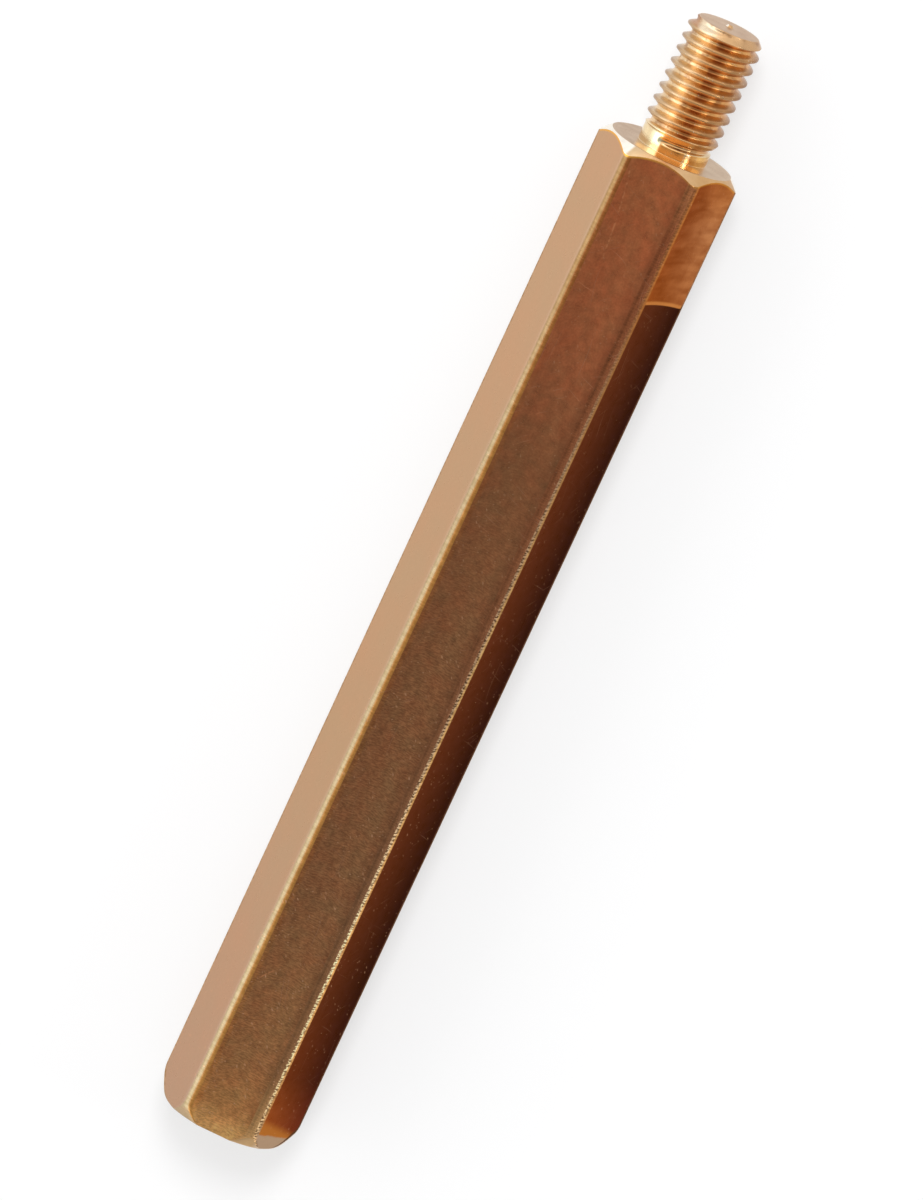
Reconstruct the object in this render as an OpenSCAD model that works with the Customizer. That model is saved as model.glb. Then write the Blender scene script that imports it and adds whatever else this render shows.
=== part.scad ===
// Male-female hexagonal standoff: a length of hexagon bar with a threaded stud turned
// on one end and a blind threaded hole drilled in the other. It is one turned piece,
// and it lies on one of its flats with the stud pointing along +X.

/* [Body] */
// Length of the hexagonal body between its two end faces
body_length = 40; // [20:1:80]
// Distance across the flats of the bar
across_flats = 4.8; // [4.5:0.1:7]
// Radius that the six long edges of the bar are drawn to
edge_radius = 0.27; // [0.1:0.01:0.6]

/* [End faces] */
// Diameter of the flat face around the stud, inside its chamfer
seat_diameter = 4.68; // [4:0.02:5]
// Slope of the turned chamfer around the seat, in degrees from its face
seat_chamfer_angle = 45; // [30:1:70]
// Diameter that the end with the hole is chamfered to, so that only its corners are cut
foot_diameter = 4.98; // [4:0.02:5.2]
// Slope of the turned chamfer around the foot, in degrees from its face
foot_chamfer_angle = 65; // [30:1:70]

/* [Stud] */
// Length of the stud from the seat to its flat tip
stud_length = 5; // [3:0.5:12]
// Outside diameter of the stud's thread, over its crests
stud_diameter = 2.9; // [2.8:0.02:3]
// Diameter of the plain neck between the thread and the seat
neck_diameter = 2.66; // [2.4:0.02:2.7]
// Length of the plain neck
neck_length = 0.4; // [0.2:0.1:1.5]
// Length over which the thread rises from the neck to its full height, about one pitch
thread_runout = 0.5; // [0.2:0.1:1]
// Distance from one turn of the thread to the next
thread_pitch = 0.5; // [0.4:0.05:0.7]
// Depth of the thread's grooves below its crests
thread_depth = 0.255; // [0.15:0.005:0.29]
// Width of the crests left between the grooves
crest_width = 0.085; // [0.05:0.005:0.12]
// Diameter of the flat on the tip, inside the lead-in chamfer
tip_diameter = 2.34; // [1.8:0.02:2.5]
// Length of the lead-in chamfer along the stud
tip_chamfer = 0.28; // [0.1:0.02:0.6]
// Diameter of the pip left on the tip where the bar was parted off
pip_diameter = 0.22; // [0.1:0.02:0.5]
// Height of the pip
pip_height = 0.1; // [0.05:0.01:0.3]

/* [Threaded hole] */
// Diameter of the hole inside its thread
hole_diameter = 2.5; // [2:0.05:2.8]
// Depth of the hole at full diameter, from the foot face
hole_depth = 10; // [4:0.5:16]
// Angle of the cone that the drill leaves at the bottom of the hole
drill_point_angle = 118; // [90:1:140]
// Diameter of the countersink at the mouth of the hole
mouth_diameter = 3.2; // [2.9:0.1:3.6]
// Depth of the countersink
mouth_depth = 0.35; // [0.1:0.05:1]

/* [Hidden] */
$fn = 96;

brass = [0.79, 0.58, 0.33];
hex_sides = 6;
sector = 360 / hex_sides;

// the long edges' rounding centres lie this far from the axis, and as far from each other
edge_reach = (across_flats / 2 - edge_radius) / cos(sector / 2);
corner_radius = edge_reach + edge_radius;
// the edges' circles stand this far past the flats, so that they cross them cleanly
edge_lap = 0.001;

drill_point_depth = hole_diameter / 2 / tan(drill_point_angle / 2);

// the thread's flanks lean this far along the stud for each millimetre of depth
flank_lean = tan(60 / 2);
// middle of the groove nearest the seat, which just bites into the neck
first_groove = neck_length + thread_pitch / 8;
// the last groove leaves at least half a crest before the lead-in chamfer
last_groove = stud_length - tip_chamfer - thread_pitch / 2;

overall_length = body_length + stud_length + pip_height;
// how far a cut runs past the surface that it opens
cut_past = 1;
// the cones of the end chamfers run out to here, clear of the bar's corners
envelope_radius = corner_radius + cut_past;

// Section of the drawn bar: a hexagon with one flat facing +X, whose corners are
// trimmed back to six small circles
module bar_section() {
    intersection() {
        rotate(sector / 2)
            circle(r = across_flats / 2 / cos(sector / 2), $fn = hex_sides);
        union() {
            for (turn = [0 : sector : 180 - sector])
                rotate(turn)
                    square([across_flats + cut_past, edge_reach], center = true);
            for (turn = [sector / 2 : sector : 360])
                rotate(turn)
                    translate([edge_reach, 0])
                        circle(r = edge_radius + edge_lap);
        }
    }
}

// Height of a chamfer's cone between a round end face and the envelope
function cone_height(face_diameter, angle) =
    (envelope_radius - face_diameter / 2) * tan(angle);

// What the lathe leaves of the bar: both ends coned off towards their round faces
module turned_envelope() {
    rotate_extrude()
        polygon([
            [0, 0],
            [foot_diameter / 2, 0],
            [envelope_radius, cone_height(foot_diameter, foot_chamfer_angle)],
            [envelope_radius, body_length - cone_height(seat_diameter, seat_chamfer_angle)],
            [seat_diameter / 2, body_length],
            [0, body_length]
        ]);
}

module body() {
    intersection() {
        linear_extrude(body_length)
            bar_section();
        turned_envelope();
    }
}

// Profile of the stud before its thread is cut: plain neck, run-out, outside diameter,
// lead-in chamfer and parting pip, rooted one neck length inside the body
module stud_blank() {
    polygon([
        [0, -neck_length],
        [neck_diameter / 2, -neck_length],
        [neck_diameter / 2, neck_length],
        [stud_diameter / 2, neck_length + thread_runout],
        [stud_diameter / 2, stud_length - tip_chamfer],
        [tip_diameter / 2, stud_length],
        [pip_diameter / 2, stud_length],
        [pip_diameter / 4, stud_length + pip_height],
        [0, stud_length + pip_height]
    ]);
}

// Profile of one groove, from the thread's root out to just past its crests
module thread_groove() {
    root_half = (thread_pitch - crest_width) / 2 - thread_depth * flank_lean;
    rise = thread_depth + crest_width / 4;
    translate([stud_diameter / 2 - thread_depth, 0])
        polygon([
            [0, -root_half],
            [rise, -root_half - rise * flank_lean],
            [rise, root_half + rise * flank_lean],
            [0, root_half]
        ]);
}

// The stud standing on the seat, with its thread's turns as plain rings
module stud() {
    translate([0, 0, body_length])
        rotate_extrude()
            difference() {
                stud_blank();
                for (groove = [first_groove : thread_pitch : last_groove])
                    translate([0, groove])
                        thread_groove();
            }
}

// Countersunk blind hole with the cone of the drill at its bottom
module tapped_hole() {
    rotate_extrude()
        polygon([
            [0, -cut_past],
            [mouth_diameter / 2, -cut_past],
            [mouth_diameter / 2, 0],
            [hole_diameter / 2, mouth_depth],
            [hole_diameter / 2, hole_depth],
            [0, hole_depth + drill_point_depth]
        ]);
}

module standoff() {
    color(brass)
        translate([-overall_length / 2, 0, across_flats / 2])
            rotate([0, 90, 0])
                difference() {
                    union() {
                        body();
                        stud();
                    }
                    tapped_hole();
                }
}

standoff();
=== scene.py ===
import math
import bpy
import bmesh
from mathutils import Matrix, Vector, noise


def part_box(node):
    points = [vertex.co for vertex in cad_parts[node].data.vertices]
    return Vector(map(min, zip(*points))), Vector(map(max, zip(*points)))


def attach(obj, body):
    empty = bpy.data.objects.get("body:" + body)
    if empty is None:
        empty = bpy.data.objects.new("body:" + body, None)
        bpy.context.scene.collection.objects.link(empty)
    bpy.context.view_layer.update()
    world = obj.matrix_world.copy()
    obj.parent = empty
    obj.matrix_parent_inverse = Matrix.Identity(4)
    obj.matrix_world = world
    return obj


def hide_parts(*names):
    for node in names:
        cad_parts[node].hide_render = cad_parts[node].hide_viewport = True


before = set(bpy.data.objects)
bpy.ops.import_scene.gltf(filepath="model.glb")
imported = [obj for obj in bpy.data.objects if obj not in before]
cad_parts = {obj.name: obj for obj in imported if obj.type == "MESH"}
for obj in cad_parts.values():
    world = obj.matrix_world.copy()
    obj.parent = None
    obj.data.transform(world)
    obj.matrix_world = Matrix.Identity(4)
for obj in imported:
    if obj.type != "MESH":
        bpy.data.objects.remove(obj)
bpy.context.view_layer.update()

mm = 0.001
boxLow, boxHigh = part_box("standoff")
footX = boxLow[0] / mm  # the hole's end; every length below is in millimetres
tipX = boxHigh[0] / mm  # top of the pip on the stud
axisZ = (boxLow[2] + boxHigh[2]) / 2 / mm
pitch = 0.5

bar = {
    "length": 40.0,
    "acrossFlats": (boxHigh[2] - boxLow[2]) / mm,
    # long edges in turn, from the +Y corner over the top
    "edgeRadii": (0.29, 0.48, 0.48, 0.29, 0.34, 0.32),
    "cornerRadius": 0.27,  # least rounding of the two edges at the part's widest
    "edgeWander": 0.07,  # share by which an edge's radius drifts along the bar
    "edgeColumns": 10,
    "flatColumns": 12,
    "rows": 190,
    "seatRadius": 2.34,
    "footRadius": (2.49, 2.38),  # towards the upper edges, and towards the part's widest
    "seatChamfer": 45,  # both in degrees from the end face
    "footChamfer": 65,
    "leastBevel": 0.012,  # taken off the flats' ends where the foot's chamfer misses them
    "turnedEdge": 0.045,  # rounding where the lathe's cuts meet
    "footFaceEdge": (0.10, 0.60),  # and where the foot's chamfer meets its face, in the same two places
    "footBarEdge": 1.2,  # and where it meets the bar
}
stud = {
    "neckRadius": 1.33,
    "crestRadius": 1.45,
    "rootRadius": 1.195,
    "crestWidth": 0.085,
    "rowsPerPitch": 16,
    "neckFillet": 0.015,
    "plainNeck": 0.24,  # this and the next five are distances from the seat
    "neckEnd": 0.60,
    "fullThread": 0.95,
    "cutStart": 0.42,  # the first groove's middle as it starts
    "chamferStart": 4.68,
    "length": 5.0,
    "cutRise": 0.035,  # how far on the first groove has its full depth
    "tipRadius": 1.17,
    "tipEdge": 0.09,
    "helixStart": 0.087,  # a crest's distance from the seat, on the +Y side
    "pipRadius": 0.11,
    # share of the pip's radius at each height above the tip
    "pipProfile": ((1.75, 0.004), (1.4, 0.014), (1.15, 0.035), (1.0, 0.06), (0.85, 0.083),
                   (0.6, 0.096), (0.3, 0.1)),
}
hole = {
    "radius": 1.25,
    "grooveRadius": 1.5,
    "crestWidth": 0.09,
    "rowsPerPitch": 9,
    "mouthRadius": 1.6,
    "mouthDepth": 0.35,
    "fullThread": 7.0,  # this and the next two are depths from the foot's face
    "threadEnd": 8.6,
    "depth": 10.0,
    "drillPoint": 118,
}


def smoothStep(low, high, value):
    t = min(max((value - low) / (high - low), 0.0), 1.0)
    return t * t * (3 - 2 * t)


def mix(a, b, t):
    return a + (b - a) * t


def newObject(name, data):
    made = bpy.data.objects.new(name, data)
    bpy.context.scene.collection.objects.link(made)
    return made


# the bar's section is a distance from its axis at each angle, counted from +Y over the top
sector = math.radians(60)
halfFlats = bar["acrossFlats"] / 2


def edgeTurn(radius):  # half the angle that an edge's rounding takes, seen from the axis
    reach = (halfFlats - radius) / math.cos(sector / 2)
    return math.atan2(radius * math.sin(sector / 2), reach + radius * math.cos(sector / 2))


def edgeRadiusAt(edge, x):
    slow = noise.noise(Vector((x * 0.23, edge * 7.3, 0.5)))
    quick = noise.noise(Vector((x * 1.1, edge * 3.1, 4.0)))
    radius = bar["edgeRadii"][edge] * (1 + bar["edgeWander"] * (slow + 0.5 * quick))
    return max(radius, bar["cornerRadius"]) if edge in (0, 3) else radius


def barRadius(angle, x):
    edge = round(angle / sector)
    off = abs(angle - edge * sector)
    radius = edgeRadiusAt(edge % 6, x)
    if off < edgeTurn(radius):
        reach = (halfFlats - radius) / math.cos(sector / 2)
        return reach * math.cos(off) + math.sqrt(radius ** 2 - (reach * math.sin(off)) ** 2)
    return halfFlats / math.cos(sector / 2 - off)


def columnAngles():
    angles = []
    inset = 0.12  # crowds a flat's columns towards its two ends: 0 would be the most
    widest = edgeTurn(max(bar["edgeRadii"]) * (1 + bar["edgeWander"]))
    flatHalf = halfFlats * math.tan(sector / 2 - widest)
    for side in range(6):  # from the middle of the bottom flat, one edge and one flat at a time
        corner = -sector + side * sector
        for i in range(bar["edgeColumns"]):
            angles.append(corner + mix(-widest, widest, i / bar["edgeColumns"]))
        for i in range(bar["flatColumns"]):
            turn = math.pi * (inset + (1 - 2 * inset) * i / bar["flatColumns"])
            across = -math.cos(turn) / math.cos(math.pi * inset) * flatHalf
            angles.append(corner + sector / 2 + math.atan2(across, halfFlats))
    return angles


columns = columnAngles()
columnCount = len(columns)


# the surface is a row of rings, from the bottom of the hole out to the pip on the stud
rings = []  # each ring is one (x, radius) for every column
ringFinish = []  # finish of the strip that ends at that ring
screwBlocks = []  # (first ring, last ring, rings per turn) where the rings run along a helix


def addRing(pointAt, finish):
    rings.append([pointAt(angle) for angle in columns])
    ringFinish.append(finish)


def addRound(x, radius, finish):
    addRing(lambda angle: (x, radius), finish)


def roundedCorner(before, corner, after, radius, steps):
    # points along a small rounding between two straight stretches of an outline
    a, b = Vector(before) - Vector(corner), Vector(after) - Vector(corner)
    half = a.angle(b) / 2
    most = 0.45  # share of either stretch that it may take
    reach = min(radius / math.tan(half), most * a.length, most * b.length)
    start, end = Vector(corner) + a.normalized() * reach, Vector(corner) + b.normalized() * reach
    bulge = reach * math.tan(half)
    centre = Vector(corner) + (a.normalized() + b.normalized()).normalized() * (reach / math.cos(half))
    points = []
    for i in range(steps + 1):
        spoke = start.lerp(end, i / steps) - centre
        points.append(tuple(centre + spoke.normalized() * bulge))
    return points


def addCorner(outline, radius, finishBefore, finishAfter, steps=3):
    # outline(angle) gives the three points of the outline at one column
    radiusAt = radius if callable(radius) else lambda angle: radius
    perColumn = [roundedCorner(*outline(angle), radiusAt(angle), steps) for angle in columns]
    for i in range(steps + 1):
        rings.append([points[i] for points in perColumn])
        ringFinish.append(finishBefore if i * 2 <= steps else finishAfter)


def addScrew(fromX, toX, perTurn, start, radiusAt, finish):
    # rings that follow the helix and stop at two planes; radiusAt takes x, the distance
    # from the nearest crest and the x of the groove's middle
    way = 1 if toX > fromX else -1
    snap = 0.006  # a point this close to an end plane lies in it
    spare = 2  # turns that start before the first plane, and that end past the last one
    turns = abs(toX - fromX) / pitch + 2 * spare
    first = len(rings)
    low, high = min(fromX, toX), max(fromX, toX)
    firstPhase = math.floor((fromX - start) / pitch * way) - spare
    for step in range(int(turns * perTurn) + 1):
        phase = firstPhase + step / perTurn
        ring = []
        for angle in columns:
            crestX = start + pitch * (angle / math.tau + phase * way)
            x = min(max(crestX, low), high)
            if abs(x - low) < snap:
                x = low
            if abs(x - high) < snap:
                x = high
            inPitch = (x - start) / pitch - angle / math.tau
            offCrest = abs(inPitch - round(inPitch)) * pitch
            grooveX = start + pitch * (angle / math.tau + math.floor(inPitch) + 0.5)
            ring.append((x, radiusAt(x, offCrest, grooveX)))
        rings.append(ring)
        ringFinish.append(finish)
    screwBlocks.append((first, len(rings) - 1, perTurn * way))


def threadHeight(offCrest, crestWidth, depth):
    # 1 on the crest and 0 in the root of a 60 degree thread; a mean over five near
    # points eases its corners
    eases = (-0.018, -0.009, 0, 0.009, 0.018)
    total = 0
    for ease in eases:
        off = abs(offCrest + ease)
        total += min(max(1 - (off - crestWidth / 2) / (depth * math.tan(sector / 2)), 0), 1)
    return total / len(eases)


def holeRadiusAt(x, offCrest, grooveX):
    depth = x - footX
    grooveDepth = hole["grooveRadius"] - hole["radius"]
    height = threadHeight(offCrest, hole["crestWidth"], grooveDepth)
    cut = 1 - smoothStep(hole["fullThread"], hole["threadEnd"], depth)
    thread = hole["grooveRadius"] - grooveDepth * height
    slope = (hole["mouthRadius"] - hole["radius"]) / hole["mouthDepth"]
    return max(mix(hole["radius"], thread, cut), hole["mouthRadius"] - depth * slope)


def studRadiusAt(x, offCrest, grooveX):
    # grooves cut into a blank that is turned down to the neck near the seat
    s = x - seatX
    blank = mix(stud["neckRadius"], stud["crestRadius"], smoothStep(stud["neckEnd"], stud["fullThread"], s))
    depth = stud["crestRadius"] - stud["rootRadius"]
    groove = stud["rootRadius"] + depth * threadHeight(offCrest, stud["crestWidth"], depth)
    cut = smoothStep(stud["cutStart"], stud["cutStart"] + stud["cutRise"], grooveX - seatX)
    leadIn = stud["crestRadius"] - max(s - stud["chamferStart"], 0) * leadInSlope
    return min(mix(blank, min(blank, groove), cut), leadIn)


seatX = footX + bar["length"]
studEndX = seatX + stud["length"]
seatRise = math.tan(math.radians(bar["seatChamfer"]))
footRise = math.tan(math.radians(bar["footChamfer"]))
leadInSlope = (stud["crestRadius"] - stud["tipRadius"]) / (stud["length"] - stud["chamferStart"])
bottomX = footX + hole["depth"]
drillPointX = bottomX + hole["radius"] / math.tan(math.radians(hole["drillPoint"] / 2))


def buildHole():
    for share in (0.012, 0.3, 0.6, 0.9, 0.98):
        addRound(mix(drillPointX, bottomX, share), hole["radius"] * share, "thread")
    threadEndX = footX + hole["threadEnd"]
    for x in (bottomX - 0.01, bottomX - 0.05, threadEndX + 0.7, threadEndX + 0.2):
        addRound(x, hole["radius"], "thread")
    mouthX = footX + 0.02
    addScrew(threadEndX, mouthX, hole["rowsPerPitch"], footX, holeRadiusAt, "thread")
    mouth = holeRadiusAt(mouthX, 0, mouthX)
    outline = ((mouthX, mouth), (footX, hole["mouthRadius"]), (footX, halfFlats))
    addCorner(lambda angle: outline, bar["turnedEdge"], "turned", "turned")


def sideways(angle):  # 1 towards the part's widest, 0 towards its top
    return smoothStep(0.62, 0.92, abs(math.cos(angle)))


def footRim(angle):
    return min(mix(*bar["footRadius"], sideways(angle)), barRadius(angle, footX) - bar["leastBevel"])


def footOutline(angle):
    radius = barRadius(angle, footX)
    return footX + (radius - footRim(angle)) * footRise, radius


def seatOutline(angle):
    radius = barRadius(angle, seatX)
    return seatX - (radius - bar["seatRadius"]) * seatRise, radius


def buildBody():
    for radius in (1.64, 1.8, 1.95):
        addRound(footX, radius, "turned")
    addCorner(lambda angle: ((footX, 0), (footX, footRim(angle)), footOutline(angle)),
              lambda angle: mix(*bar["footFaceEdge"], sideways(angle)), "turned", "turned", steps=6)

    def lastOnFlat(angle):
        x, radius = footOutline(angle)
        return x + 1, radius

    addCorner(lambda angle: ((footX, footRim(angle)), footOutline(angle), lastOnFlat(angle)),
              bar["footBarEdge"], "turned", "drawn", steps=5)
    # the rings keep clear of the roundings at both ends
    for share in [0.0076] + [i / bar["rows"] for i in range(2, bar["rows"])] + [0.997, 0.9988]:
        def alongBar(angle):
            x = mix(footOutline(angle)[0], seatOutline(angle)[0], share)
            return x, barRadius(angle, x)
        addRing(alongBar, "drawn")
    rim = bar["seatRadius"]

    def firstOnFlat(angle):
        x, radius = seatOutline(angle)
        return x - 1, radius

    addCorner(lambda angle: (firstOnFlat(angle), seatOutline(angle), (seatX, rim)),
              bar["turnedEdge"], "drawn", "turned")
    addCorner(lambda angle: (seatOutline(angle), (seatX, rim), (seatX, 0)),
              bar["turnedEdge"], "turned", "turned")
    for radius in (rim - 0.03, 2.15, 1.9, 1.65, 1.45, 1.40):
        addRound(seatX, radius, "turned")


def buildStud():
    neck = stud["neckRadius"]
    outline = ((seatX, neck + 0.5), (seatX, neck), (seatX + 0.5, neck))
    addCorner(lambda angle: outline, stud["neckFillet"], "turned", "thread", steps=4)
    for x in (0.07, 0.13, 0.19):
        addRound(seatX + x, neck, "thread")
    addScrew(seatX + stud["plainNeck"], studEndX - 0.05, stud["rowsPerPitch"],
             seatX + stud["helixStart"], studRadiusAt, "thread")
    rim = stud["tipRadius"]
    leadIn = ((studEndX - 0.12, rim + 0.12 * leadInSlope), (studEndX, rim), (studEndX, 0))
    addCorner(lambda angle: leadIn, stud["tipEdge"], "thread", "turned", steps=5)
    for radius in (1.10, 0.95, 0.75, 0.55, 0.38, 0.26):
        addRound(studEndX, radius, "turned")
    for share, height in stud["pipProfile"]:
        addRound(studEndX + height, stud["pipRadius"] * share, "turned")


buildHole()
buildBody()
buildStud()
print("rings", len(rings), "columns", columnCount)


def aroundLengths():  # distance round the bar's section at each column, for the unrolled map
    points = []
    for angle in columns + [columns[0] + math.tau]:
        radius = barRadius(angle, 0)
        points.append(Vector((radius * math.cos(angle), radius * math.sin(angle))))
    lengths = [0.0]
    for a, b in zip(points, points[1:]):
        lengths.append(lengths[-1] + (b - a).length)
    return lengths


def ringLengths():  # distance along the outline at each ring and column
    lengths = [[0.0] * columnCount]
    for last, ring in zip(rings, rings[1:]):
        row = []
        for c in range(columnCount):
            dx, dr = ring[c][0] - last[c][0], ring[c][1] - last[c][1]
            row.append(lengths[-1][c] + math.hypot(dx, dr))
        lengths.append(row)
    return lengths


def buildStandoff(finishes):
    around, along = aroundLengths(), ringLengths()
    points = []
    for ring in rings:
        for angle, (x, radius) in zip(columns, ring):
            points.append((x * mm, radius * math.cos(angle) * mm, (axisZ + radius * math.sin(angle)) * mm))
    firstPole, lastPole = len(points), len(points) + 1
    points += [(drillPointX * mm, 0, axisZ * mm), (tipX * mm, 0, axisZ * mm)]
    faces, places, slots = [], [], []
    names = list(finishes)

    def addQuad(lowLeft, highLeft, lowRight, highRight, column):
        nextColumn = (column + 1) % columnCount
        corners = ((lowLeft, column, around[column]), (highLeft, column, around[column]),
                   (highRight, nextColumn, around[column + 1]), (lowRight, nextColumn, around[column + 1]))
        faces.append([ring * columnCount + c for ring, c, a in corners])
        places.append([(along[ring][c], a) for ring, c, a in corners])
        slots.append(names.index(ringFinish[highLeft]))

    for ring in range(len(rings) - 1):
        for column in range(columnCount - 1):
            addQuad(ring, ring + 1, ring, ring + 1, column)
    seam = columnCount - 1
    inScrew = set()
    for first, last, shift in screwBlocks:
        inScrew.update(range(first, last))
        for ring in range(first - abs(shift), last + abs(shift)):
            left, leftNext = [min(max(r, first), last) for r in (ring, ring + 1)]
            right, rightNext = [min(max(r + shift, first), last) for r in (ring, ring + 1)]
            addQuad(left, leftNext, right, rightNext, seam)
    for ring in range(len(rings) - 1):
        if ring not in inScrew:
            addQuad(ring, ring + 1, ring, ring + 1, seam)
    top = (len(rings) - 1) * columnCount
    for column in range(columnCount):
        nextColumn = (column + 1) % columnCount
        for face, ring, finishName in (([column, nextColumn, firstPole], 0, "thread"),
                                       ([top + nextColumn, top + column, lastPole], -1, "turned")):
            faces.append(face)
            places.append([(along[ring][column], around[column])] * 3)
            slots.append(names.index(finishName))

    mesh = bpy.data.meshes.new("hexStandoff")
    mesh.from_pydata(points, [], faces)
    for material in finishes.values():
        mesh.materials.append(material)
    mesh.polygons.foreach_set("material_index", slots)
    layer = mesh.uv_layers.new(name="unrolled")
    flat = [value for face in places for corner in face for value in corner]
    layer.uv.foreach_set("vector", flat)
    mesh.shade_smooth()
    work = bmesh.new()
    work.from_mesh(mesh)
    bmesh.ops.remove_doubles(work, verts=work.verts, dist=1e-7)
    bmesh.ops.dissolve_degenerate(work, edges=work.edges, dist=1e-8)
    bmesh.ops.recalc_face_normals(work, faces=work.faces)
    work.to_mesh(mesh)
    work.free()
    return newObject("hex_standoff", mesh)


def newNode(tree, kind, inputs=None, **settings):
    made = tree.nodes.new("ShaderNode" + kind)
    for name, value in settings.items():
        setattr(made, name, value)
    for name, value in (inputs or {}).items():
        if isinstance(value, bpy.types.NodeSocket):
            tree.links.new(value, made.inputs[name])
        else:
            made.inputs[name].default_value = value
    return made


def add(kind, inputs, **settings):
    # a node in the tree that its linked inputs come from
    linked = [value for value in inputs.values() if isinstance(value, bpy.types.NodeSocket)]
    return newNode(linked[0].id_data, kind, inputs, **settings)


def calc(operation, *values):
    return add("Math", dict(enumerate(values)), operation=operation).outputs[0]


def times(first, *rest):
    for value in rest:
        first = calc("MULTIPLY", first, value)
    return first


def plus(first, *rest):
    for value in rest:
        first = calc("ADD", first, value)
    return first


def minus(first, second):
    return calc("SUBTRACT", first, second)


def over(first, second):
    return calc("DIVIDE", first, second)


def absolute(value):
    return calc("ABSOLUTE", value)


def hypotenuse(first, second):
    return calc("SQRT", plus(times(first, first), times(second, second)))


def remap(value, low, high, outLow=0.0, outHigh=1.0, smooth=True):
    kind = "SMOOTHSTEP" if smooth else "LINEAR"
    inputs = {"Value": value, "From Min": low, "From Max": high, "To Min": outLow, "To Max": outHigh}
    return add("MapRange", inputs, interpolation_type=kind).outputs["Result"]


def mixValue(factor, first, second):
    return add("Mix", {0: factor, 2: first, 3: second}, data_type="FLOAT").outputs[0]


def blend(factor, first, second, how="MIX"):
    first, second = [(*c, 1) if isinstance(c, tuple) and len(c) == 3 else c for c in (first, second)]
    made = add("Mix", {0: factor, 6: first, 7: second}, data_type="RGBA", blend_type=how)
    return made.outputs[2]


plain = (1.0, 1.0, 1.0)


def shade(colour, mask, first, second):
    # multiplies a colour by a tint that goes from first to second with the mask
    return blend(1.0, colour, blend(mask, first, second), "MULTIPLY")


def ramp(factor, stops):
    made = add("ValToRGB", {"Fac": factor})
    elements = made.color_ramp.elements
    while len(elements) < len(stops):
        elements.new(0.5)
    for element, (place, colour) in zip(elements, stops):
        element.position = place
        element.color = (*colour, 1)
    return made.outputs["Color"]


def split(vector):
    return add("SeparateXYZ", {0: vector}).outputs


def dotWith(vector, direction):
    return add("VectorMath", {0: vector, 1: direction}, operation="DOT_PRODUCT").outputs["Value"]


def newGroup(name, vector, values, results):
    # one vector input, the numbers that set the effect up, and numbers as results
    group = bpy.data.node_groups.new(name, "ShaderNodeTree")
    group.interface.new_socket(vector, in_out="INPUT", socket_type="NodeSocketVector")
    for socket, value in values.items():
        made = group.interface.new_socket(socket, in_out="INPUT", socket_type="NodeSocketFloat")
        made.default_value = value
    for socket in results:
        group.interface.new_socket(socket, in_out="OUTPUT", socket_type="NodeSocketFloat")
    return group, group.nodes.new("NodeGroupInput").outputs, group.nodes.new("NodeGroupOutput").inputs


def useGroup(group, **inputs):
    named = {name[0].upper() + name[1:]: value for name, value in inputs.items()}
    return add("Group", named, node_tree=group).outputs


def spread(value, contrast):
    # a noise's middle values pulled apart to fill 0 to 1
    wide = times(minus(value, 0.5), contrast, 3.0)
    return add("Clamp", {"Value": plus(wide, 0.5)}).outputs[0]


def turnedParts(given):
    inputs = {"Vector": given["Place"], "Angle": given["Turn"]}
    turned = add("VectorRotate", inputs, rotation_type="Z_AXIS").outputs[0]
    return split(turned)


# four effects that the brass finishes share

def cloudGroup():
    # soft uneven patches, as handling and air leave on bare brass
    group, given, result = newGroup("cloudyTarnish", "Place", {"Size": 1.0, "Contrast": 1.0}, ["Cloud"])
    fineness = over(1.0, given["Size"])
    scaled = add("VectorMath", {0: given["Place"], "Scale": fineness}, operation="SCALE").outputs[0]
    cloud = add("TexNoise", {"Vector": scaled, "Scale": 1.0, "Detail": 4.0, "Roughness": 0.6})
    group.links.new(spread(cloud.outputs["Fac"], given["Contrast"]), result["Cloud"])
    return group


def markGroup():
    # stray marks that lie one way: scratches when long, nicks when short
    values = {"Turn": 0.0, "Length": 1.0, "Width": 0.04, "Share": 0.1}
    group, given, result = newGroup("strayMarks", "Place", values, ["Mark"])
    bend = add("TexNoise", {"Vector": given["Place"], "Scale": 0.5, "Detail": 0.0})
    bent = times(minus(bend.outputs["Fac"], 0.5), 0.5)
    parts = turnedParts(given)
    length = over(parts[0], given["Length"])
    width = over(plus(parts[1], bent), given["Width"])
    stretched = add("CombineXYZ", {0: length, 1: width}).outputs[0]
    cells = add("TexVoronoi", {"Vector": stretched, "Scale": 1.0}, voronoi_dimensions="2D")
    chance = add("SeparateColor", {0: cells.outputs["Color"]}).outputs
    kept = calc("LESS_THAN", chance[0], given["Share"])
    shape = remap(cells.outputs["Distance"], 0.48, 0.1)
    depth = remap(chance[1], 0.0, 1.0, 0.3, 1.0, smooth=False)
    group.links.new(times(shape, kept, depth), result["Mark"])
    return group


def lineGroup():
    # close parallel lines or streaks, as a die or a cutting edge leaves them
    values = {"Turn": 0.0, "Length": 2.0, "Spacing": 0.05, "Contrast": 1.0}
    group, given, result = newGroup("fineLines", "Place", values, ["Line"])
    parts = turnedParts(given)
    length = over(parts[0], given["Length"])
    width = over(parts[1], given["Spacing"])
    stretched = add("CombineXYZ", {0: length, 1: width}).outputs[0]
    lines = add("TexNoise", {"Vector": stretched, "Scale": 1.0, "Detail": 2.0, "Roughness": 0.6},
                noise_dimensions="2D")
    group.links.new(spread(lines.outputs["Fac"], given["Contrast"]), result["Line"])
    return group


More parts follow.
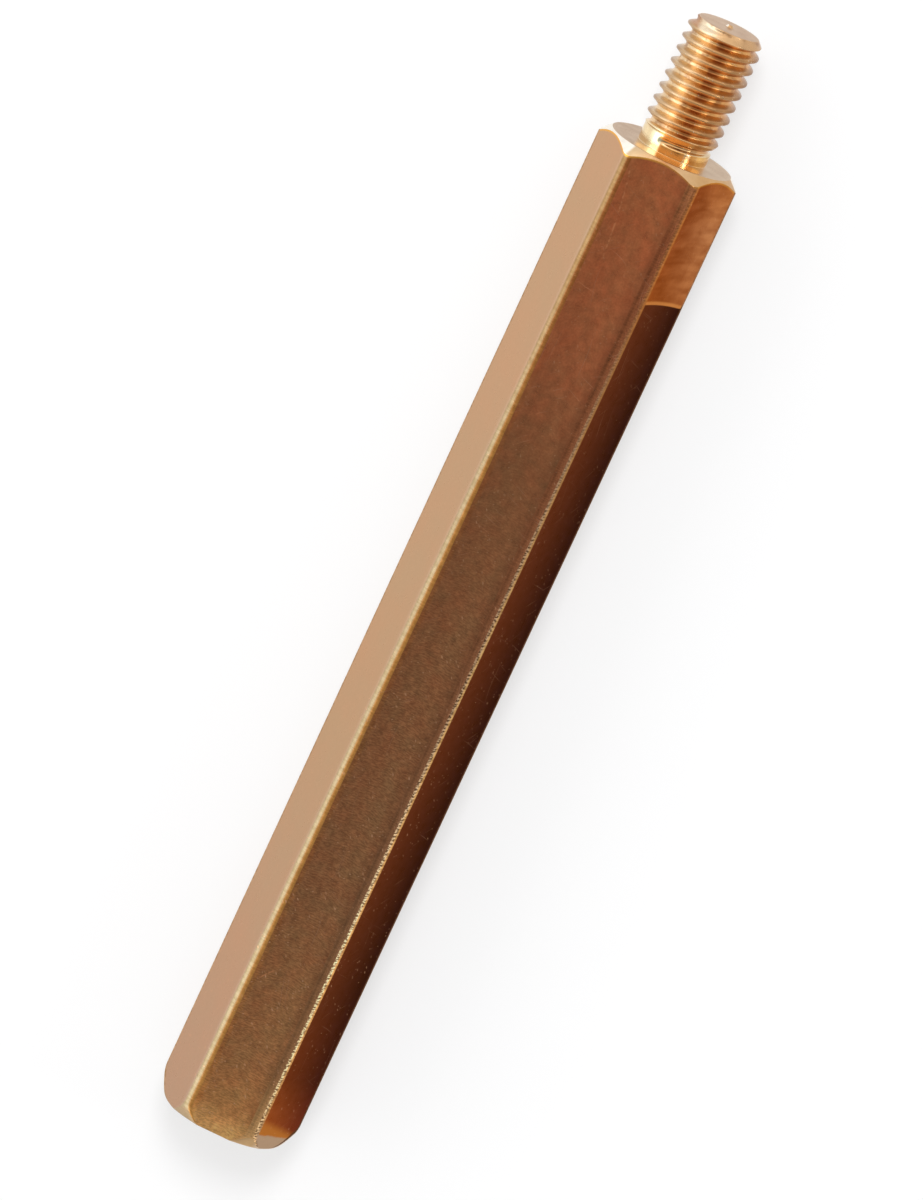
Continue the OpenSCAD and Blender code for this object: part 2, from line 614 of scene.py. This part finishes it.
def ringGroup():
    # distance from the bar's axis, and the rings that a lathe tool leaves there
    group, given, result = newGroup("latheRings", "Position", {"Feed": 0.06}, ["Ring", "Radius"])
    parts = split(given["Position"])
    height = minus(parts[2], axisZ)
    radius = hypotenuse(parts[1], height)
    travel = over(plus(radius, parts[0]), given["Feed"])
    feed = add("TexNoise", {"W": travel, "Scale": 1.0, "Detail": 2.0}, noise_dimensions="1D")
    group.links.new(feed.outputs["Fac"], result["Ring"])
    group.links.new(radius, result["Radius"])
    return group


clouds, marks, lines, latheRings = cloudGroup(), markGroup(), lineGroup(), ringGroup()
crosswise = math.radians(90)


def newMaterial(name):
    material = bpy.data.materials.new(name)
    material.use_nodes = True
    tree = material.node_tree
    shader = tree.nodes["Principled BSDF"]
    shader.inputs["Metallic"].default_value = 1.0
    coords = newNode(tree, "TexCoord").outputs
    position = add("VectorMath", {0: coords["Object"], "Scale": 1 / mm}, operation="SCALE").outputs[0]
    unrolled = newNode(tree, "UVMap", uv_map="unrolled").outputs[0]
    return material, tree, shader, position, unrolled, coords["Normal"]


def finish(tree, shader, colour, roughness, height, depth):
    bump = add("Bump", {"Height": height, "Distance": depth * mm, "Strength": 1.0})
    tree.links.new(colour, shader.inputs["Base Color"])
    tree.links.new(roughness, shader.inputs["Roughness"])
    tree.links.new(bump.outputs["Normal"], shader.inputs["Normal"])


drawn = {
    # colours along the bar, by distance from the seat
    "topTones": ((0, (0.58, 0.18, 0.068)), (8, (0.50, 0.16, 0.066)), (12, (0.36, 0.145, 0.062)),
                 (30, (0.37, 0.165, 0.072)), (37, (0.48, 0.215, 0.085)), (39, (0.62, 0.28, 0.10)),
                 (39.7, (0.90, 0.48, 0.17))),
    "sunnyTones": ((0, (0.62, 0.40, 0.255)), (25, (0.57, 0.365, 0.23)), (39.5, (0.53, 0.34, 0.24))),
    "goldTones": ((5, (0.42, 0.15, 0.042)), (12, (0.60, 0.27, 0.07)), (34, (0.64, 0.30, 0.08))),
    "paleTones": ((5, (0.32, 0.195, 0.085)), (12, (0.355, 0.265, 0.15)), (34, (0.41, 0.32, 0.185))),
    "dullTones": ((0.6, (0.56, 0.21, 0.08)), (2.5, (0.40, 0.125, 0.05)), (30, (0.34, 0.16, 0.075)),
                  (37, (0.42, 0.20, 0.085)), (39.7, (0.80, 0.45, 0.18))),
    "beadTones": ((5, (0.32, 0.12, 0.042)), (12, (0.36, 0.21, 0.11)), (22, (0.36, 0.22, 0.12)),
                  (32, (0.90, 0.62, 0.34)), (37, (0.80, 0.54, 0.28)), (39.5, (0.62, 0.38, 0.18))),
    "orangeTones": ((4, (0.43, 0.15, 0.04)), (7, (0.30, 0.13, 0.045)), (20, (0.50, 0.30, 0.12)),
                    (33, (0.72, 0.38, 0.13)), (38.5, (0.52, 0.27, 0.10)), (39.5, (0.38, 0.25, 0.15))),
    "copperInner": ((0, (0.21, 0.036, 0.012)), (5, (0.27, 0.055, 0.012))),
    "copperOuter": ((0, (0.44, 0.14, 0.04)), (2, (0.47, 0.18, 0.07)), (5, (0.38, 0.12, 0.04))),
    "darkInner": ((34, (0.13, 0.031, 0.017)), (37, (0.17, 0.036, 0.016)), (39, (0.36, 0.085, 0.024))),
    "darkOuter": ((33, (0.024, 0.007, 0.011)), (37.2, (0.044, 0.010, 0.013)), (39.2, (0.16, 0.03, 0.02))),
    "band": (0.45, 0.155, 0.035),
    "plainEnd": (0.44, 0.30, 0.20),
    "underside": (0.42, 0.24, 0.12),
    "plainEdge": (0.56, 0.38, 0.24),
    "darkUnderside": (0.24, 0.12, 0.06),
    "darkEdge": (0.09, 0.045, 0.04),
    "copperEdge": (0.36, 0.17, 0.09),
    "copperRim": (0.86, 0.36, 0.10),
    # tints that multiply those colours, where a mask is 0 and where it is 1
    "topTints": (((1.05, 0.96, 0.95), (0.95, 1.04, 1.05)),  # patches, large and small
                 ((0.92, 0.92, 0.92), (1.08, 1.08, 1.08)),
                 ((0.82, 0.81, 0.82), (1.18, 1.19, 1.18)),  # streaks across the bar
                 ((0.93, 0.92, 0.92), (1.07, 1.08, 1.08)),  # grit
                 (plain, (1.04, 0.98, 0.84)),  # painted reflection: a warmer border along the sunny edge
                 (plain, (0.84, 0.82, 0.84)),  # painted shade along the shady edge
                 ((0.95, 0.94, 0.94), (1.05, 1.07, 1.07))),  # from the sunny side to the shady one
    "sunnyTints": ((1.03, 0.99, 0.98), (0.97, 1.01, 1.01)),
    "sunnyGrit": ((0.985, 0.985, 0.985), (1.015, 1.015, 1.015)),
    "copperTints": ((0.72, 0.60, 0.56), (1.22, 1.34, 1.38)),
    "darkTints": ((0.90, 0.86, 0.86), (1.10, 1.14, 1.14)),
    "goldTints": ((0.90, 0.88, 0.86), (1.10, 1.12, 1.14)),
    "paleTints": ((0.93, 0.91, 0.86), (1.07, 1.08, 1.12)),
    "dullTints": ((0.88, 0.88, 0.88), (1.12, 1.12, 1.12)),
    "dullLower": (plain, (0.72, 0.74, 0.78)),
    "beadTints": ((0.28, 0.24, 0.22), (1.60, 1.66, 1.72)),
    "orangeTints": ((0.75, 0.72, 0.70), (1.25, 1.28, 1.30)),
    "lowerEdgeTints": ((0.75, 0.7, 0.65), (1.1, 1.1, 1.1)),
    "lowerFlatTints": ((1.06, 0.98, 0.96), (0.94, 1.02, 1.02)),
    "copperEnd": 5.0,  # where the painted dark reflection on the shady flat begins
    "bandStart": (38.80, 39.42),  # where its bright band begins near the foot, inside and outside
    "bandEnd": (39.40, 39.58),
    "lipHighlight": (1.0, 0.50, 0.08),  # painted highlight along the line where the seat's chamfer meets the flats
    "lipShare": 0.9,
    "scratch": (0.50, 0.27, 0.17),
    "nick": (0.86, 0.47, 0.27),
    # stray marks: turn in degrees, length, width, share of the places that have one
    "scratchKinds": ((68, 1.3, 0.030, 0.010), (-52, 0.8, 0.028, 0.012), (8, 2.6, 0.030, 0.010)),
    "nickKinds": ((35, 0.19, 0.08, 0.03), (-70, 0.11, 0.06, 0.035)),
    # start, length, side at both ends, bow
    "longScratches": ((0.6, 3.6, 1.04, 0.56, -0.30), (33.3, 0.7, 0.36, 0.92, 0.15)),
    "longMark": (0.80, 0.32, 0.14),
    "roughness": 0.27,
    "edgeTint": (0.75, 0.55, 0.40),  # of what it reflects at a glancing angle
    "bump": 0.0018,  # in millimetres, as in the other two finishes
}


def strayMarks(unrolled, kinds):
    made = []
    for turnBy, length, width, kept in kinds:
        made.append(useGroup(marks, place=unrolled, turn=math.radians(turnBy), length=length,
                             width=width, share=kept)["Mark"])
    while len(made) > 1:
        made[:2] = [calc("MAXIMUM", made[0], made[1])]
    return made[0]


def drawnBrass():
    material, tree, shader, position, unrolled, normal = newMaterial("drawnBrass")
    parts = split(position)
    station = minus(seatX, parts[0])  # distance from the seat
    share = over(station, bar["length"])
    turn = split(normal)
    angle = calc("DEGREES", calc("ARCTAN2", turn[2], turn[1]))
    tilt = absolute(minus(angle, 90.0))  # away from straight up; an edge takes 60 degrees
    sunnySide = calc("GREATER_THAN", turn[1], 0.0)

    def tones(name):
        return ramp(share, [(s / bar["length"], colour) for s, colour in drawn[name]])

    def cloud(size, contrast=1.0):
        return useGroup(clouds, place=unrolled, size=size, contrast=contrast)["Cloud"]

    def streaks(length, spacing, contrast=1.0, turn=crosswise):
        return useGroup(lines, place=unrolled, turn=turn, length=length, spacing=spacing,
                        contrast=contrast)["Line"]

    patches, smallPatches, grit = cloud(0.9), cloud(0.35), cloud(0.09, 1.2)

    # upper flat: reddish brown with olive patches, coarser and more golden towards the foot; the brown is
    # partly tarnish and partly painted shade for the dark ceiling it reflects
    coarse = remap(station, 6.0, 24.0)
    crossing = times(minus(streaks(0.20, 0.05, 1.3), 0.5), coarse)
    sunnyBorder = times(remap(parts[1], 0.88, 1.0), remap(station, 5.0, 14.0))
    shadyBorder = remap(parts[1], -0.65, -1.12)
    masks = (patches, smallPatches, plus(crossing, 0.5), grit, sunnyBorder, shadyBorder,
             remap(parts[1], 0.7, -0.7))
    top = tones("topTones")
    for mask, tints in zip(masks, drawn["topTints"]):
        top = shade(top, mask, *tints)

    # sunny flat: pale and even
    sunny = shade(tones("sunnyTones"), cloud(3.0), *drawn["sunnyTints"])
    sunny = shade(sunny, grit, *drawn["sunnyGrit"])

    # shady flat: clouded copper near the seat, then a painted dark reflection behind a crisp arched line,
    # edged by a thin painted highlight
    outward = remap(parts[1], -1.35, -2.60, smooth=False)  # from its upper edge to its lower one
    bow = minus(outward, 0.62)
    lineAt = minus(station, times(bow, bow, 0.30))
    copper = blend(outward, tones("copperInner"), tones("copperOuter"))
    bands = plus(times(streaks(1.8, 0.45), 0.5), times(patches, 0.5))
    copper = shade(copper, bands, *drawn["copperTints"])
    # painted highlight: a thin bright line just before the painted dark reflection
    rim = times(remap(lineAt, drawn["copperEnd"] - 0.16, drawn["copperEnd"] - 0.05), 0.45)
    copper = blend(rim, copper, drawn["copperRim"])
    dark = blend(outward, tones("darkInner"), tones("darkOuter"))
    dark = shade(dark, smallPatches, *drawn["darkTints"])
    shady = blend(remap(lineAt, drawn["copperEnd"], drawn["copperEnd"] + 0.05), copper, dark)
    uneven = plus(station, times(smallPatches, 0.05))
    # near the foot the painted dark reflection gives way to a band and then the plain end
    for ends, soft, tone in (("bandStart", 0.22, "band"), ("bandEnd", 0.05, "plainEnd")):
        near, far = drawn[ends]
        border = plus(times(outward, far - near), near)
        past = remap(minus(uneven, border), -soft, soft)
        shady = blend(past, shady, drawn[tone])

    # rounded edges, coloured by tilt as painted reflections: a gold strip and a pale one on the sunny side,
    # a dull, a beaded and an orange one on the shady side, the dull one with painted shade on its lower
    # part
    fine = streaks(0.9, 0.11, 1.3)
    bead = streaks(0.22, 0.075, 1.6)
    gold = shade(tones("goldTones"), fine, *drawn["goldTints"])
    pale = shade(tones("paleTones"), fine, *drawn["paleTints"])
    sunnyEdge = blend(remap(tilt, 12.0, 25.0), gold, pale)
    sunnyEdge = blend(remap(tilt, 36.0, 50.0), sunnyEdge, sunny)
    dull = shade(tones("dullTones"), streaks(0.4, 0.06), *drawn["dullTints"])
    dull = shade(dull, remap(tilt, 18.0, 30.0), *drawn["dullLower"])
    lively = remap(station, 7.0, 24.0, 0.35, 1.5)
    beads = plus(times(minus(bead, 0.5), lively), 0.5)
    beaded = shade(tones("beadTones"), beads, *drawn["beadTints"])
    orange = shade(tones("orangeTones"), beads, *drawn["orangeTints"])
    shadyEdge = blend(remap(tilt, 34.0, 38.5), dull, beaded)
    shadyEdge = blend(remap(tilt, 49.0, 54.0), shadyEdge, orange)
    edge = blend(sunnySide, shadyEdge, sunnyEdge)
    side = blend(sunnySide, shady, sunny)
    colour = blend(remap(tilt, 0.8, 3.5), top, edge)
    below = calc("MAXIMUM", remap(parts[2], 4.56, 4.50), sunnySide)
    colour = blend(times(remap(tilt, 57.0, 59.5), below), colour, side)

    # painted highlight at the seat's chamfer
    radius = useGroup(latheRings, position=position)["Radius"]
    fromSeat = minus(station, minus(radius, bar["seatRadius"]))
    lipHighlight = remap(fromSeat, 0.02, 0.11, drawn["lipShare"], 0.0)
    lipHighlight = times(lipHighlight, remap(parts[1], -1.0, 1.0, 0.35, 1.0))
    colour = blend(lipHighlight, colour, drawn["lipHighlight"])

    # the edges at the part's widest, and what lies below them; on the shady side the painted dark
    # reflection carries on there as painted shade
    farEdge = blend(remap(station, drawn["copperEnd"] - 0.1, drawn["copperEnd"] + 0.1),
                    drawn["copperEdge"], drawn["darkEdge"])
    lowerEdge = blend(sunnySide, farEdge, drawn["plainEdge"])
    lowerEdge = shade(lowerEdge, fine, *drawn["lowerEdgeTints"])
    lowerFlat = blend(sunnySide, drawn["darkUnderside"], drawn["underside"])
    lowerFlat = shade(lowerFlat, patches, *drawn["lowerFlatTints"])
    for low, high, tone in ((60.8, 63.5, lowerEdge), (116.5, 119.0, lowerFlat),
                            (121.0, 123.5, drawn["underside"]), (176.5, 179.0, lowerFlat)):
        colour = blend(remap(tilt, low, high), colour, tone)

    # stray scratches and nicks
    scratches = strayMarks(unrolled, drawn["scratchKinds"])
    upward = remap(tilt, 57.0, 62.0, 1.0, 0.16)
    colour = blend(times(scratches, upward, 0.42), colour, drawn["scratch"])
    nicks = strayMarks(unrolled, drawn["nickKinds"])
    nicks = times(nicks, remap(station, 8.0, 34.0, 0.35, 1.0),
                  remap(patches, 0.35, 0.60, 0.25, 1.0), remap(tilt, 57.0, 62.0, 0.75, 0.05))
    colour = blend(nicks, colour, drawn["nick"])
    for start, length, fromY, toY, bowed in drawn["longScratches"]:
        run = over(minus(station, start), length)  # 0 to 1 along the scratch
        bend = times(run, minus(1.0, run), bowed)
        middle = plus(times(run, toY - fromY), fromY, bend)
        line = remap(absolute(minus(parts[1], middle)), 0.05, 0.005)
        line = times(line, remap(smallPatches, 0.35, 0.7, 0.05, 0.55),
                     calc("COMPARE", run, 0.5, 0.5), calc("LESS_THAN", tilt, 2.0))
        colour = blend(line, colour, drawn["longMark"])

    offFlat = absolute(minus(calc("FRACT", over(tilt, 60.0)), 0.5))
    onEdge = remap(offFlat, 0.46, 0.40)
    roughness = plus(drawn["roughness"], times(smallPatches, 0.10))
    height = times(streaks(6.0, 0.03, 1.0, 0.0), 0.25)
    height = minus(height, plus(scratches, nicks))
    height = plus(height, times(bead, onEdge, 0.8))
    finish(tree, shader, colour, roughness, height, drawn["bump"])
    shader.inputs["Specular Tint"].default_value = (*drawn["edgeTint"], 1)
    return material


turned = {
    "face": (0.56, 0.395, 0.25),
    "tip": (0.56, 0.37, 0.215),
    # painted light and shade on the chamfers by degrees round the axis, from the +Y side over the top, with
    # a painted highlight at the seat's +Y corner
    "rimTones": ((58, (1.0, 0.97, 0.88)), (60.5, (0.69, 0.50, 0.29)), (67, (0.69, 0.49, 0.28)),
                 (78, (0.70, 0.44, 0.22)), (90, (0.69, 0.33, 0.13)), (106, (0.78, 0.52, 0.28)),
                 (125, (0.63, 0.39, 0.18))),
    "footTones": ((40, (0.50, 0.37, 0.23)), (56, (0.47, 0.345, 0.21)), (64, (0.37, 0.27, 0.155)),
                  (75, (0.45, 0.31, 0.17)), (105, (0.60, 0.40, 0.21)), (125, (0.57, 0.37, 0.18)),
                  (134, (0.68, 0.55, 0.42))),
    "studReflection": (0.98, 0.62, 0.28),  # painted reflection of the stud on the seat's upper side, which is also smoother there
    # tints: painted light on the end faces' shady side, then clouds and rings where the mask is 0 and 1
    "shadySide": (1.07, 1.10, 1.09),
    "cloudTints": ((1.04, 1.03, 1.02), (0.86, 0.80, 0.76)),
    "ringTints": ((0.96, 0.95, 0.94), (1.04, 1.05, 1.06)),
    "roughness": 0.32,
    "feed": 0.045,  # distance between the tool's rings
    "bump": 0.0012,
}


def turnedBrass():
    material, tree, shader, position, _, normal = newMaterial("turnedBrass")
    cut = useGroup(latheRings, position=position, feed=turned["feed"])
    ring, radius = cut["Ring"], cut["Radius"]
    cloud = useGroup(clouds, place=position, size=0.8, contrast=0.8)["Cloud"]
    parts = split(position)
    height = minus(parts[2], axisZ)

    # chamfers, painted light and shade round the axis
    angle = calc("DEGREES", calc("ARCTAN2", height, parts[1]))
    share = over(angle, 180.0)
    atSeat, atFoot = [ramp(share, [(a / 180, tone) for a, tone in turned[name]])
                      for name in ("rimTones", "footTones")]
    rim = blend(calc("LESS_THAN", parts[0], 0.0), atSeat, atFoot)

    # end faces, with a painted reflection of the stud on the seat
    nearStud = times(remap(height, 1.0, 1.5), remap(radius, 2.33, 2.15),
                     remap(absolute(parts[1]), 1.35, 1.15),
                     calc("COMPARE", parts[0], seatX, 0.01))
    # painted light: the end faces lighter towards the -Y side
    face = shade(turned["face"], remap(parts[1], 0.3, -1.5), plain, turned["shadySide"])
    face = blend(nearStud, face, turned["studReflection"])
    face = blend(calc("GREATER_THAN", parts[0], studEndX - 0.1), face, turned["tip"])

    square = absolute(dotWith(normal, (1, 0, 0)))  # 1 on the end faces
    colour = blend(remap(square, 0.80, 0.97), rim, face)
    colour = shade(colour, cloud, *turned["cloudTints"])
    colour = shade(colour, remap(ring, 0.35, 0.65), *turned["ringTints"])
    roughness = plus(turned["roughness"], times(cloud, 0.08))
    roughness = minus(roughness, times(nearStud, 0.18))
    finish(tree, shader, colour, roughness, ring, turned["bump"])
    return material


thread = {
    # these four on the shady side and on the sunny one, as painted light and shade
    "root": ((0.88, 0.46, 0.16), (0.82, 0.60, 0.35)),
    "flank": ((0.82, 0.49, 0.23), (0.80, 0.62, 0.40)),
    "crest": ((0.60, 0.33, 0.14), (0.62, 0.43, 0.25)),
    "leadIn": ((0.78, 0.49, 0.25), (0.88, 0.74, 0.54)),
    "outerLeadIn": (0.60, 0.38, 0.26),
    # tints that multiply those tones: painted shade on flanks that face the tip, on the -Y side and at both
    # outlines, then clouds
    "towardTip": (0.87, 0.83, 0.79),
    "shadySide": (0.74, 0.72, 0.72),
    "outermost": (0.76, 0.74, 0.80),
    "cloudTints": ((1.06, 1.04, 1.02), (0.90, 0.86, 0.82)),
    "neck": (0.86, 0.42, 0.12),  # painted reflections over its top, then its other zones, with painted highlights on the +Y side and down a stripe
    "sunnyNeck": (0.94, 0.92, 0.62),
    "outerNeck": (0.92, 0.74, 0.45),
    "farNeck": (0.86, 0.52, 0.18),
    "neckGlint": (0.88, 0.63, 0.35),  # a paler stripe down the neck
    "neckLipHighlight": (1.0, 0.80, 0.50),  # painted highlight on the flank where the first groove meets the neck
    "notch": (0.86, 0.48, 0.20),
    "darkReflectionSpot": (0.72, 0.57, 0.53),  # painted dark reflection in the grooves a little to the -Y side of the top
    "speck": (0.95, 0.86, 0.70),
    "speckKinds": ((51.566, 0.11, 0.07, 0.045),),
    "rootShade": (0.30, 0.12, 0.05),
    "flankFrom": (1.24, 1.34),  # distances from the axis over which the flanks' tone takes over
    "crestFrom": (1.39, 1.44),  # and the crests'
    "glintSide": -0.61,
    "roughness": 0.24,
    "neckRoughness": 0.13,
    "feed": 0.03,
    "bump": 0.0022,
}


def threadBrass():
    material, tree, shader, position, unrolled, normal = newMaterial("threadBrass")
    cut = useGroup(latheRings, position=position, feed=thread["feed"])
    radius = cut["Radius"]
    cloud = useGroup(clouds, place=position, size=0.5)["Cloud"]
    grit = useGroup(clouds, place=position, size=0.07, contrast=1.2)["Cloud"]
    parts = split(position)
    turn = split(normal)
    facingTip = remap(turn[0], 0.3, 0.75)

    # grooves, flanks and crests, with painted light on the +Y side and painted shade on the -Y side, on
    # tip-facing flanks and at both outlines
    sunnySide = remap(parts[1], 0.0, 0.65)
    tones = {name: blend(sunnySide, *thread[name]) for name in ("root", "flank", "crest", "leadIn")}
    flank = shade(tones["flank"], facingTip, plain, thread["towardTip"])
    colour = blend(remap(radius, *thread["flankFrom"]), tones["root"], flank)
    colour = blend(remap(radius, *thread["crestFrom"]), colour, tones["crest"])
    colour = shade(colour, remap(parts[1], -0.5, -0.9), plain, thread["shadySide"])
    outermost = remap(absolute(parts[1]), 1.1, 1.4)
    colour = shade(colour, outermost, plain, thread["outermost"])

    # lead-in at the tip, with painted light on its +Y side and painted shade at its +Y outline and on the
    # -Y side
    chamferX = seatX + stud["chamferStart"]
    onLeadIn = remap(parts[0], chamferX - 0.03, chamferX + 0.03)
    leadIn = shade(tones["leadIn"], remap(parts[1], 0.85, 1.1), plain, thread["outerLeadIn"])
    leadIn = shade(leadIn, remap(parts[1], -0.4, -0.9), plain, thread["shadySide"])
    colour = blend(onLeadIn, colour, leadIn)

    # neck, with painted reflections and highlights, and the notch where the first groove starts
    onNeck = remap(parts[0], seatX + stud["fullThread"], seatX + stud["neckEnd"] - 0.1)
    neck = blend(remap(parts[1], 0.40, 0.50), thread["neck"], thread["sunnyNeck"])
    neck = blend(remap(parts[1], 0.78, 1.0), neck, thread["outerNeck"])
    neck = blend(remap(parts[1], -0.8, -1.1), neck, thread["farNeck"])
    fromGlint = absolute(minus(parts[1], thread["glintSide"]))
    neck = blend(remap(fromGlint, 0.14, 0.06), neck, thread["neckGlint"])
    colour = blend(times(onNeck, remap(radius, 1.24, 1.32)), colour, neck)
    # painted light in the first groove on the neck, brighter than the shade there
    notch = times(onNeck, remap(radius, 1.31, 1.24))
    colour = blend(notch, colour, thread["notch"])
    # painted highlight on the first groove's flank that faces the tip
    colour = blend(times(onNeck, facingTip, 0.85), colour, thread["neckLipHighlight"])
    # painted shade on the -Y side of the run-out
    runOut = remap(parts[0], seatX + stud["plainNeck"] + 0.06, seatX + stud["cutStart"])
    runOut = times(onNeck, runOut, remap(parts[1], 0.2, -0.3))
    colour = shade(colour, runOut, plain, thread["shadySide"])

    # painted dark reflections, painted shade in the roots, and specks
    darkReflectionSpot = times(remap(parts[1], -0.55, -0.32), remap(parts[1], 0.10, -0.08),
                 remap(parts[2], axisZ, axisZ + 0.5), remap(radius, 1.35, 1.26),
                 minus(minus(1.0, onLeadIn), onNeck))
    colour = shade(colour, darkReflectionSpot, plain, thread["darkReflectionSpot"])
    colour = shade(colour, cloud, *thread["cloudTints"])
    # painted shade in patches in the roots of the grooves
    inRoot = times(remap(radius, 1.30, 1.21), remap(cloud, 0.5, 0.9, 0.0, 0.55), minus(1.0, onNeck))
    colour = blend(inRoot, colour, thread["rootShade"])
    specks = strayMarks(unrolled, thread["speckKinds"])
    colour = blend(times(specks, 0.7), colour, thread["speck"])

    smooth = remap(radius, 1.24, 1.32, 0.15, 1.0)  # the grooves are smoother than the neck
    steep = remap(absolute(turn[0]), 0.2, 0.6)
    height = times(cut["Ring"], times(smooth, minus(1.0, steep)))
    height = plus(height, times(cloud, 0.8), times(grit, 0.06))
    roughness = plus(thread["roughness"], times(cloud, 0.12))
    roughness = mixValue(onNeck, roughness, thread["neckRoughness"])
    finish(tree, shader, colour, roughness, height, thread["bump"])
    return material


finishes = {"drawn": drawnBrass(), "turned": turnedBrass(), "thread": threadBrass()}
standoff = buildStandoff(finishes)
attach(standoff, "root")
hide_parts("standoff")
print("standoff made, faces", len(standoff.data.polygons))


studio = {
    "floorSize": 1.2,
    "floorColour": (0.72, 0.72, 0.725),
    "floorGlow": 0.60,  # share of plain white that the camera sees in the floor
    "glossyGlow": 0.88,  # and that the brass sees in it
    "zenith": 0.45,  # level of the ceiling
    "side": 0.95,  # and of the walls
    "sunnier": 0.22,  # how much brighter the +Y side is, and darker the other one
    "lean": 0.29,  # how far the dark ceiling leans over to the -Y side
    "ceiling": (0.54, 0.68),  # heights between which the bright sides give way to it
    "opening": (0.05, 0.40, 1.15),  # the ceiling is bright again towards +X: from, to, level
    "stripMiddle": 31,  # long soft box on the +Y side: degrees above the floor
    "strip": (11, 19, 1.0),  # its full and outer half angles, and the level it adds
    # two windows and a dark patch: direction, full and outer half angles, level added
    "patches": (((-0.234, -0.841, 0.488), 3, 6, 1.6), ((0.30, -0.80, 0.52), 3, 7, 9.0),
                ((-0.20, -0.28, 0.94), 5, 19, -0.26)),
    "keyDirection": (0.60, 0.08, 1.0),
    "keyDistance": 0.35,
    "keySize": 0.10,
    "keyPower": 0.78,
}


def buildFloor():
    half = studio["floorSize"] / 2
    mesh = bpy.data.meshes.new("floor")
    corners = [(-half, -half, 0), (half, -half, 0), (half, half, 0), (-half, half, 0)]
    mesh.from_pydata(corners, [], [(0, 1, 2, 3)])
    material = bpy.data.materials.new("paleFloor")
    material.use_nodes = True
    tree = material.node_tree
    shader = tree.nodes["Principled BSDF"]
    shader.inputs["Base Color"].default_value = (*studio["floorColour"], 1)
    shader.inputs["Roughness"].default_value = 1
    shader.inputs["Specular IOR Level"].default_value = 0
    rays = newNode(tree, "LightPath").outputs
    bounced = calc("MAXIMUM", rays["Is Glossy Ray"], rays["Is Transmission Ray"])
    seen = plus(times(rays["Is Camera Ray"], studio["floorGlow"]), times(bounced, studio["glossyGlow"]))
    glow = newNode(tree, "Emission", {"Color": (1, 1, 1, 1), "Strength": 1.0})
    mixed = add("MixShader", {0: seen, 1: shader.outputs[0], 2: glow.outputs[0]})
    tree.links.new(mixed.outputs[0], tree.nodes["Material Output"].inputs["Surface"])
    mesh.materials.append(material)
    return newObject("floor", mesh)


def lobe(close, full, outer, extra):
    # light added round a direction, where close is the cosine of the angle off it
    near, far = math.cos(math.radians(full)), math.cos(math.radians(outer))
    return times(remap(close, far, near), extra)


def buildLight():
    world = bpy.data.worlds.new("studio")
    world.use_nodes = True
    tree = world.node_tree
    background = tree.nodes["Background"]
    direction = newNode(tree, "TexCoord").outputs["Generated"]
    parts = split(direction)
    height = minus(parts[2], times(parts[1], studio["lean"]))
    side = plus(times(parts[1], studio["sunnier"]), studio["side"])
    opened, clear, bright = studio["opening"]
    ceiling = remap(parts[0], opened, clear, studio["zenith"], bright)
    overhead = remap(height, *studio["ceiling"])
    level = mixValue(overhead, side, ceiling)
    middle = math.radians(studio["stripMiddle"])
    close = dotWith(direction, (0, math.cos(middle), math.sin(middle)))
    close = over(close, hypotenuse(parts[1], parts[2]))
    level = plus(level, lobe(close, *studio["strip"]))
    for middle, full, outer, extra in studio["patches"]:
        close = dotWith(direction, tuple(Vector(middle).normalized()))
        level = plus(level, lobe(close, full, outer, extra))
    seen = newNode(tree, "LightPath").outputs["Is Camera Ray"]
    background.inputs["Color"].default_value = (1, 1, 1, 1)
    tree.links.new(mixValue(seen, level, 1.0), background.inputs["Strength"])
    bpy.context.scene.world = world

    lamp = bpy.data.lights.new("keyPanel", "AREA")
    lamp.shape = "SQUARE"
    lamp.size = studio["keySize"]
    lamp.energy = studio["keyPower"]
    key = newObject("keyPanel", lamp)
    key.visible_glossy = False
    toward = Vector(studio["keyDirection"]).normalized()
    key.location = toward * studio["keyDistance"]
    key.rotation_euler = toward.to_track_quat("Z", "Y").to_euler()


shot = {
    "azimuth": 81.18,  # where the camera stands: 0 looks along +Y, 90 along -X
    "elevation": 76.31,
    "lean": 24.93,  # how far the bar leans clockwise from upright in the frame
    "distance": 0.3902,
    "lens": 320.8,
    "aim": (-0.001012, 0.000075, 0.002033),
}


def buildCamera():
    azimuth, elevation = math.radians(shot["azimuth"]), math.radians(shot["elevation"])
    back = Vector((math.sin(azimuth) * math.cos(elevation), -math.cos(azimuth) * math.cos(elevation),
                   math.sin(elevation)))
    up = (Vector((1, 0, 0)) - back * back.x).normalized()
    up.rotate(Matrix.Rotation(math.radians(shot["lean"]), 3, back))
    data = bpy.data.cameras.new("camera")
    data.sensor_width = 36
    data.lens = shot["lens"]
    data.clip_start = 0.01
    camera = newObject("camera", data)
    stand = Matrix((up.cross(back), up, back)).transposed().to_4x4()
    stand.translation = Vector(shot["aim"]) + back * shot["distance"]
    camera.matrix_world = stand
    bpy.context.scene.camera = camera


buildFloor()
buildLight()
buildCamera()
bpy.context.scene.view_settings.view_transform = "Standard"
print("floor, light and camera made")
